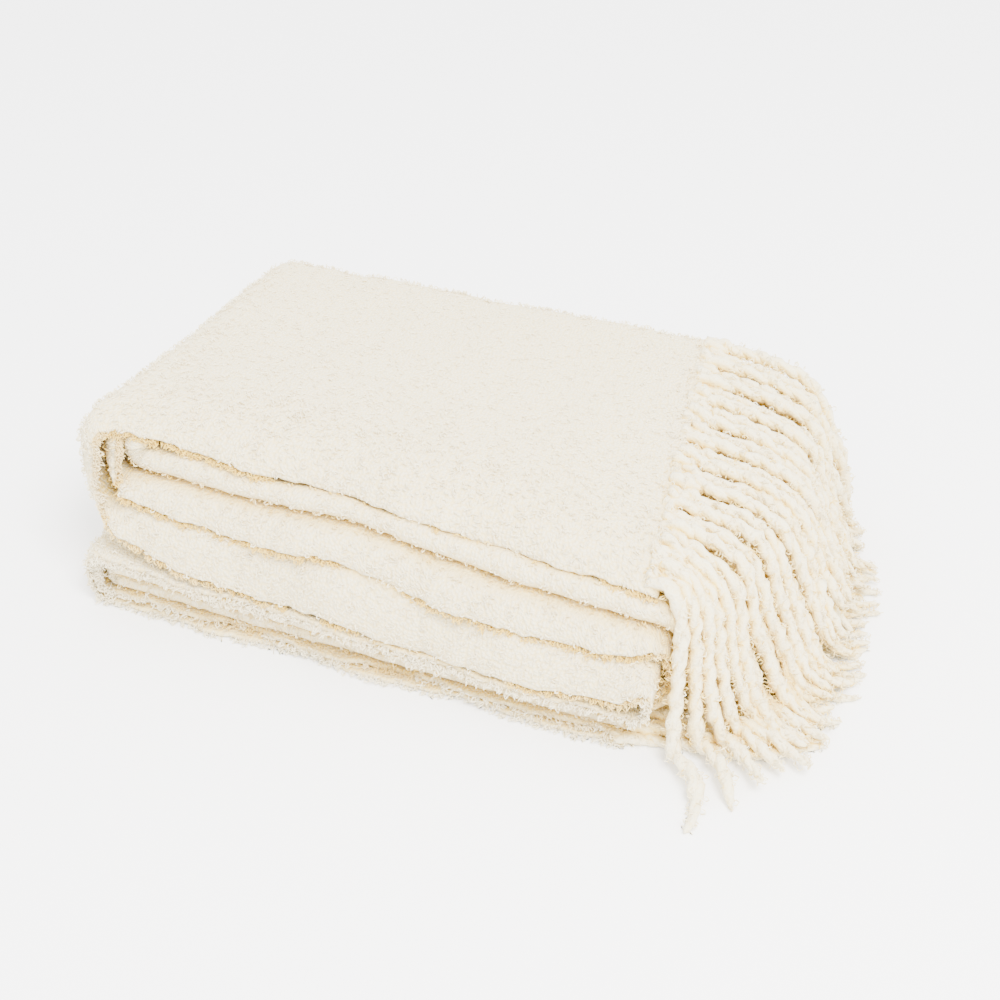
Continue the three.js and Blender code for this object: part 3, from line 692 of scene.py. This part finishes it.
def lock(line, yarn, apart, seed):
    """Two lumpy yarns twisted about a line, thinning out to the tip: rings of points and directions."""
    n = len(line)
    run = run_along(line)
    left = run[-1] - run
    tangent = unit(np.gradient(line, axis=0))
    side = unit(np.array([0, 1.0, 0]) - tangent * tangent[:, 1:2])
    up = np.cross(tangent, side)
    angle = np.arange(SIDES) / SIDES * 2 * np.pi
    direction = (np.cos(angle)[None, :, None] * side[:, None, :]
                 + np.sin(angle)[None, :, None] * up[:, None, :])
    r = np.random.default_rng(seed)
    pitch = r.uniform(*PITCH)
    start = r.uniform(0, WHOLE_TURN)
    taper = (mix(TAPER.least, 1, np.sqrt(clamp(left / TAPER.over)))
             * (1 + ROOT_SWELL.more * (1 - smooth(run / ROOT_SWELL.over))))
    splay = ROOT_SPLAY.apart * (1 - smooth(run / ROOT_SPLAY.over))
    rings = []
    for half_turn, way in ((0, 1), (np.pi, -1)):
        phase = run / pitch * 2 * np.pi + start + half_turn
        uneven_twist = np.sin(run / r.uniform(*TWIST_WAVE.over) + r.uniform(0, MOST_OF_TURN))
        phase = phase + TWIST_WAVE.size * uneven_twist
        lumps = LUMPS.size * np.sin(run / r.uniform(*LUMPS.over) + r.uniform(0, MOST_OF_TURN))
        swell = 1 + lumps + LUMPS.random * r.normal(size=n)
        twist = np.cos(phase)[:, None] * side + np.sin(phase)[:, None] * up
        centre = line + (apart * taper)[:, None] * twist
        centre = centre + (splay * way)[:, None] * side
        size = (yarn * swell * taper)[:, None] * (1 + LUMPS.random_sides * r.normal(size=(n, SIDES)))
        size[-1] *= TIP.size
        p = centre[:, None, :] + size[..., None] * direction
        p[..., 2] = np.maximum(p[..., 2], LOCK_LOWEST)
        rings.append(p)
    return rings, direction


def tube_faces(n, sides):
    """The faces of a closed tube: its walls, and a fan at each end."""
    ids = np.arange(n * sides).reshape(n, sides)
    nxt = np.roll(ids, -1, 1)
    walls = np.stack([ids[:-1], nxt[:-1], nxt[1:], ids[:-1], nxt[1:], ids[1:]], -1).reshape(-1, 3)
    fan = np.arange(1, sides - 1)
    start = np.stack([0 * fan, fan + 1, fan], -1)
    last = (n - 1) * sides
    end = np.stack([last + 0 * fan, last + fan, last + fan + 1], -1)
    return np.vstack([walls, start, end])


def fringe(name, node, end, yarn, apart, floor_lift):
    """The strands of one end: their object, its points, the directions that they face, and its faces."""
    all_points, outs = [], []
    resting = (yarn + apart) * RESTING_SHARE
    for row in STRAND_ROWS:
        first, number = row.top if end.name == "top" else row.base
        for i in range(number):
            seed = 100 * row.s + i + 1000 * end.run + row.seed
            r = np.random.default_rng(seed)
            y = first + i * end.spacing
            x = float(from_front(end.edge, y))
            z = root_height(end, x, row.s, y) - row.sunk
            variety = LENGTH_VARIATION.per_strand * i + LENGTH_VARIATION.per_row * row.s + end.run
            length = end.length + LENGTH_VARIATION.size * math.sin(variety)
            line = strand_line(end.route(row, x, z, y), y, length, end)
            least = np.full(len(line), resting)
            if end.name == "top":
                line = lay_down(line)
                least = mix(floor_lift, resting, bare_floor(line[:, 1]))
            t = np.linspace(0, 1, len(line))
            for axis, size in enumerate(WANDER.sizes):
                turns = t * r.uniform(*WANDER.turns)
                line[:, axis] += size * t * np.sin(turns + r.uniform(0, MOST_OF_TURN))
            line[:, 1] += r.uniform(-BEND, BEND) * t ** 2
            tip = smooth((t - TIP.start) / TIP.over)
            line[:, 2] = np.maximum(line[:, 2], mix(least, TIP.height * least, tip))
            rings, directions = lock(line, yarn, apart, seed)
            all_points += [p.reshape(-1, 3) for p in rings]
            outs += [directions.reshape(-1, 3)] * len(rings)
    tube = tube_faces(RINGS, SIDES)
    points = np.vstack(all_points)
    faces = np.vstack([tube + k * RINGS * SIDES for k in range(len(all_points))])
    obj = make_mesh(name, points, faces)
    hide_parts(node)
    return obj, points, np.vstack(outs), faces


top_end = Sizes(name="top", run=0, v=0.0, edge=TOP_END, length=192, spacing=25.2, route=top_route,
                fan=(-50, -12, 4), fan_corner=-60)
base_end = Sizes(name="base", run=3, v=7.0, edge=BASE_END, length=152, spacing=29, route=base_route,
                 fan=(42, 20, 0), fan_corner=0)
top_fringe, top_places, top_ways, top_faces = fringe(
    "fringe_upper_yarn", "fringe_top", top_end, yarn=4.2, apart=1.5, floor_lift=11.5)
base_fringe, base_places, base_ways, base_faces = fringe(
    "fringe_lower_yarn", "fringe_base", base_end, yarn=3.2, apart=1.3, floor_lift=3.2)


# How open each point is to the air, from 0 deep in a crevice to 1. The colour paints shade from it: gold
# where closed in
everything = np.vstack([points, top_places, base_places])
all_faces = [tuple(f) for f in faces.tolist()]
for found, first in ((top_faces, len(points)), (base_faces, len(points) + len(top_places))):
    all_faces += [tuple(f) for f in (found + first).tolist()]
tree = BVHTree.FromPolygons([tuple(p) for p in everything.tolist()], all_faces)


def openness(places, ways, rays):
    """The share of rays from each place that meet nothing within their reach."""
    r = np.random.default_rng(SEEDS.rays)
    directions = unit(r.normal(size=(rays.number, 3)))
    starts = places + ways * RAY_LIFT
    bundles = ways[:, None, :] * RAY_LEAN + directions[None]
    return np.array([sum(tree.ray_cast(start, way, rays.reach)[0] is None for way in bundle) / rays.number
                     for start, bundle in zip(starts.tolist(), bundles.tolist())])


def smoothed(grid, times):
    """The values, each evened out with its four neighbours."""
    for _ in range(times):
        padded = np.pad(grid, 1, mode="edge")
        beside = padded[:-2, 1:-1] + padded[2:, 1:-1] + padded[1:-1, :-2] + padded[1:-1, 2:]
        grid = (beside + 2 * grid) / 6
    return grid


def store_shade_openness(obj, values):
    """Stores how open each vertex is, which the colour follows: gold painted as shade where it is closed
    in.
    """
    layer = obj.data.attributes.new("open", "FLOAT", "POINT")
    layer.data.foreach_set("value", np.asarray(values, np.float32))


# The sheet is measured at every second point, and the values between are filled in
side_facing, side_open = [], []
for sign, p in zip((1, -1), sides):
    facing = unit(np.cross(np.gradient(p, axis=1), np.gradient(p, axis=0)) * sign, TINY)
    some = p[::2, ::2]
    coarse = openness(some.reshape(-1, 3), facing[::2, ::2].reshape(-1, 3), CLOTH_RAYS)
    coarse = coarse.reshape(some.shape[:2])
    rows_at, columns_at = np.arange(rows) / 2, np.arange(columns) / 2
    known_rows, known_columns = (np.arange(number) for number in coarse.shape)
    wide = np.stack([np.interp(columns_at, known_columns, line) for line in coarse])
    full = np.stack([np.interp(rows_at, known_rows, line) for line in wide.T], 1)
    side_facing.append(facing)
    side_open.append(smoothed(full, 2))
rim_open = openness(rim_places, rim_ways, CLOTH_RAYS)
top_open = openness(top_places, top_ways, STRAND_RAYS)
base_open = openness(base_places, base_ways, STRAND_RAYS)
store_shade_openness(cloth, np.concatenate([side_open[0].ravel(), side_open[1].ravel(), rim_open])[used])
store_shade_openness(top_fringe, top_open)
store_shade_openness(base_fringe, base_open)


# Loose loops of the yarn, standing on the cloth where it is open to the air
def make_loops(name, places, ways, shares, width, height, thick, seed):
    """Small closed arches, each with two feet in the cloth and a bowed middle."""
    r = np.random.default_rng(seed)
    n = len(places)
    sideways = unit(np.cross(ways, r.normal(size=(n, 3))))
    lean = np.cross(ways, sideways)
    w = (width * r.uniform(*LOOP_RANGES.width, n))[:, None]
    h = (height * r.uniform(*LOOP_RANGES.height, n))[:, None]
    radius = (thick * r.uniform(*LOOP_RANGES.thick, n))[:, None]
    up = ways + lean * r.normal(0, LOOP_RANGES.lean, n)[:, None]
    rings = []
    for along_loop, high, facing_up in LOOP_RINGS:
        centre = places + sideways * w * along_loop + up * h * high
        outer = unit(up * facing_up + sideways * along_loop * LOOP_POINTS.turned)
        back, side = outer * radius * LOOP_POINTS.back, lean * radius * LOOP_POINTS.side
        rings += [centre + outer * radius, centre - back + side, centre - back - side]
    feet, sunk = sideways * w * LOOP_FOOT.apart, ways * LOOP_FOOT.sunk
    points = np.stack([places - feet - sunk, *rings, places + feet - sunk], 1)
    points[..., 2] = np.maximum(points[..., 2], LOOP_LOWEST)
    faces = LOOP_FACES[None] + points.shape[1] * np.arange(n)[:, None, None]
    obj = make_mesh(name, points.reshape(-1, 3), faces.reshape(-1, 3), smooth_shade=False)
    # Painted shade: gold at the loops' feet and backs, from their lowered openness
    store_shade_openness(obj, (shares[:, None] * LOOP_SHADE_SHARES).ravel())
    return obj


def cloth_places(number, seed):
    """Places on both sides of the sheet, by area, where it is open: more on the folds and selvedges."""
    r = np.random.default_rng(seed)
    u, v = (us[:-1] + us[1:]) / 2, (vs[:-1] + vs[1:]) / 2
    lips = np.maximum(smooth(LIVELY.outer_end - u), smooth((u - LIVELY.inner_start) / LIVELY.inner_over))
    lively = lips[None, :] + 0 * v[:, None]
    lively = np.maximum(lively, (np.floor(v) % 2 == 1)[:, None] * LIVELY.in_folds)
    lively = np.maximum(lively, np.isin(np.floor(u), LIVELY.folds)[None, :] * LIVELY.in_folds)
    weights = []
    for p, facing, share in zip(sides, side_facing, side_open):
        corner, share = p[:-1, :-1], share[:-1, :-1]
        area = np.linalg.norm(np.cross(p[:-1, 1:] - corner, p[1:, :-1] - corner), axis=-1)
        z, down = corner[..., 2], facing[:-1, :-1, 2] < GROUND.facing
        ground = (z < GROUND.height) | (down & (z < GROUND.facing_height))
        seen = (share > SEEN.least) * (SEEN.always + share)
        weights.append(area * seen * (1 + LIVELY.more * lively) * ~ground)
    total = sum(weight.sum() for weight in weights)
    found = []
    for p, facing, share, weight in zip(sides, side_facing, side_open, weights):
        n = int(number * weight.sum() / total)
        i, j = np.unravel_index(r.choice(weight.size, n, p=(weight / weight.sum()).ravel()), weight.shape)
        a, b = r.uniform(0, 1, (2, n, 1))
        place = (p[i, j] * (1 - a) * (1 - b) + p[i + 1, j] * a * (1 - b)
                 + p[i, j + 1] * (1 - a) * b + p[i + 1, j + 1] * a * b)
        found.append((place, facing[i, j], share[i, j], lively[i, j]))
    return [np.concatenate(column) for column in zip(*found)]


places, ways, shares, lively = cloth_places(CLOTH_LOOPS, SEEDS.cloth)
r = np.random.default_rng(SEEDS.rim)
take = r.choice(np.flatnonzero(rim_open > RIM.least), RIM_LOOPS)
places = np.vstack([places, rim_places[take] + r.uniform(-RIM.nudge, RIM.nudge, (RIM_LOOPS, 3))])
ways = np.vstack([ways, unit(rim_ways[take] + r.normal(0, RIM.lean, (RIM_LOOPS, 3)))])
shares = np.concatenate([shares, rim_open[take]])
heights = mix(PILE_HEIGHT.calm, PILE_HEIGHT.lively, lively)
heights = np.concatenate([heights, np.full(RIM_LOOPS, PILE_HEIGHT.rim)])
order = np.random.default_rng(SEEDS.order).permutation(len(places))
loop_pieces = []
for k in range(3):
    some = order[k::3]
    loop_pieces.append(make_loops(f"boucle_pile_{k + 1}", places[some], ways[some],
                                  shares[some], PILE.width, heights[some], PILE.thick, PILE.seed + k))


def make_fuzz(name, fuzz, places, ways, shares):
    """Loops that stand on the strands of one end. Their places are drawn after those on the rims."""
    take = r.choice(len(places), fuzz.number)
    return make_loops(name, places[take], ways[take], shares[take],
                      fuzz.width, fuzz.height, fuzz.thick, fuzz.seed)


top_fuzz = make_fuzz("fringe_upper_fuzz", TOP_FUZZ, top_places, top_ways, top_open)
base_fuzz = make_fuzz("fringe_lower_fuzz", BASE_FUZZ, base_places, base_ways, base_open)

# The weave follows the cloth, whose lengths across and along it are its two texture coordinates
grid = np.stack([lengths_across(middle), lengths_along(middle)[:, None] + 0 * us], -1)
grid = grid.reshape(-1, 2) / METRE
rim_grid = np.vstack([grid[index[edge]] for edge, *_ in RIMS])
vertex_grid = np.vstack([grid, grid, rim_grid])[used]
layer = cloth.data.uv_layers.new(name="cloth")
corners = np.zeros(len(cloth.data.loops), np.int32)
cloth.data.loops.foreach_get("vertex_index", corners)
layer.data.foreach_set("uv", vertex_grid[corners].astype(np.float32).ravel())


# Materials
def set_inputs(node, values):
    for socket, value in values.items():
        node.inputs[socket].default_value = value


def yarn_material(name, cream, shade_gold, weave=False, yarn=False):
    """Wool with a soft sheen: cream where it is open to the air, gold as painted shade in its crevices,
    and straw in patches of its own tone.

    The woven cloth has pebbles, and straw as painted shade between them. The fringe's yarn has larger
    lumps instead, with straw as painted shade in their hollows.
    """
    material = bpy.data.materials.new(name)
    material.use_nodes = True
    nodes, links = material.node_tree.nodes, material.node_tree.links
    shader = nodes["Principled BSDF"]
    set_inputs(shader, {"Roughness": 0.95, "Specular IOR Level": 0.1, "Sheen Weight": 0.3,
                        "Sheen Roughness": 0.5, "Sheen Tint": (1.0, 0.97, 0.9, 1)})
    place = nodes.new("ShaderNodeTexCoord")

    def noise(scale, detail):
        node = nodes.new("ShaderNodeTexNoise")
        set_inputs(node, {"Scale": scale, "Detail": detail})
        links.new(place.outputs["Object"], node.inputs["Vector"])
        return node.outputs["Fac"]

    def ranged(value, start, end, low=0.0, high=1.0, kind="LINEAR"):
        """The value's range from start to end, taken to the one from low to high."""
        node = nodes.new("ShaderNodeMapRange")
        node.interpolation_type = kind
        set_inputs(node, {"From Min": start, "From Max": end, "To Min": low, "To Max": high})
        links.new(value, node.inputs["Value"])
        return node.outputs["Result"]

    def mix_node(factor, b):
        """A mix node for colours, whose second one is plain."""
        node = nodes.new("ShaderNodeMix")
        node.data_type = "RGBA"
        node.inputs["B"].default_value = (*b, 1)
        links.new(factor, node.inputs["Factor"])
        return node

    # Mixes toward straw: the wool's own tone in random patches, and painted shade in the hollows of the
    # bump
    def with_straw_tone_and_shade(colour, factor):
        node = mix_node(factor, STRAW_TONE_AND_SHADE)
        links.new(colour, node.inputs["A"])
        return node.outputs["Result"]

    share = nodes.new("ShaderNodeAttribute")
    share.attribute_name = "open"
    # Painted shade: gold where a point is closed in, cream where it is open to the air
    daylight = ranged(share.outputs["Fac"], 0.12, 0.97 if yarn else 0.9, kind="SMOOTHSTEP")
    open_air = mix_node(daylight, cream)
    open_air.inputs["A"].default_value = (*shade_gold, 1)
    # The wool's own tone: straw in random patches
    patches = ranged(noise(scale=130, detail=4), 0.3, 0.7, 0.16, 0.0)
    colour = with_straw_tone_and_shade(open_air.outputs["Result"], patches)
    height = grain = noise(scale=430 if yarn else 900, detail=2)
    if yarn:
        # Painted shade: straw in the hollows between the yarn's lumps, where the bump is low
        colour = with_straw_tone_and_shade(colour, ranged(grain, 0.55, 0.3, 0.0, 0.7))
    if weave:
        pebbles = nodes.new("ShaderNodeTexVoronoi")
        pebbles.voronoi_dimensions = "2D"
        set_inputs(pebbles, {"Scale": 370, "Randomness": 0.75})
        links.new(place.outputs["UV"], pebbles.inputs["Vector"])
        dome = nodes.new("ShaderNodeMath")
        dome.operation = "MULTIPLY_ADD"
        dome.inputs[1].default_value = -1.6
        links.new(pebbles.outputs["Distance"], dome.inputs[0])
        links.new(grain, dome.inputs[2])
        height = dome.outputs["Value"]
        # Painted shade: straw between the pebbles, where the bump is low
        colour = with_straw_tone_and_shade(colour, ranged(pebbles.outputs["Distance"], 0.2, 0.6, 0.0, 0.9))
    links.new(colour, shader.inputs["Base Color"])
    bump = nodes.new("ShaderNodeBump")
    set_inputs(bump, {"Strength": 0.8, "Distance": 0.0022 if yarn else 0.0013})
    links.new(height, bump.inputs["Height"])
    links.new(bump.outputs["Normal"], shader.inputs["Normal"])
    return material


cloth_material = yarn_material("boucle_cream", CREAM, SHADE_GOLD, weave=True)
pile_material = yarn_material("boucle_loops", CREAM, SHADE_GOLD)
fringe_material = yarn_material("fringe_cream", YARN_CREAM, YARN_SHADE_GOLD, yarn=True)
cloth.data.materials.append(cloth_material)
for piece in loop_pieces:
    piece.data.materials.append(pile_material)
for piece in (top_fringe, base_fringe, top_fuzz, base_fuzz):
    piece.data.materials.append(fringe_material)


# Floor and light
def make_floor():
    mesh = bpy.data.meshes.new("floor")
    h = FLOOR.half
    mesh.from_pydata([(-h, -h, 0), (h, -h, 0), (h, h, 0), (-h, h, 0)], [], [(0, 1, 2, 3)])
    floor = bpy.data.objects.new("floor", mesh)
    bpy.context.collection.objects.link(floor)
    material = bpy.data.materials.new("floor")
    material.use_nodes = True
    set_inputs(material.node_tree.nodes["Principled BSDF"],
               {"Base Color": (*PAPER, 1), "Roughness": 0.9, "Specular IOR Level": 0.1})
    mesh.materials.append(material)
    floor.location.z = -FLOOR.below


def make_light():
    data = bpy.data.lights.new("key", "AREA")
    data.energy, data.size, data.color = KEY.power, KEY.size, WARM_WHITE
    light = bpy.data.objects.new("key", data)
    light.location = KEY.place
    light.rotation_mode = "QUATERNION"
    light.rotation_quaternion = (Vector(KEY.target) - Vector(KEY.place)).to_track_quat("-Z", "Y")
    bpy.context.collection.objects.link(light)


make_floor()
world = bpy.data.worlds.new("studio")
world.use_nodes = True
set_inputs(world.node_tree.nodes["Background"], {"Color": (*WHITE, 1), "Strength": SKY_STRENGTH})
bpy.context.scene.world = world
make_light()
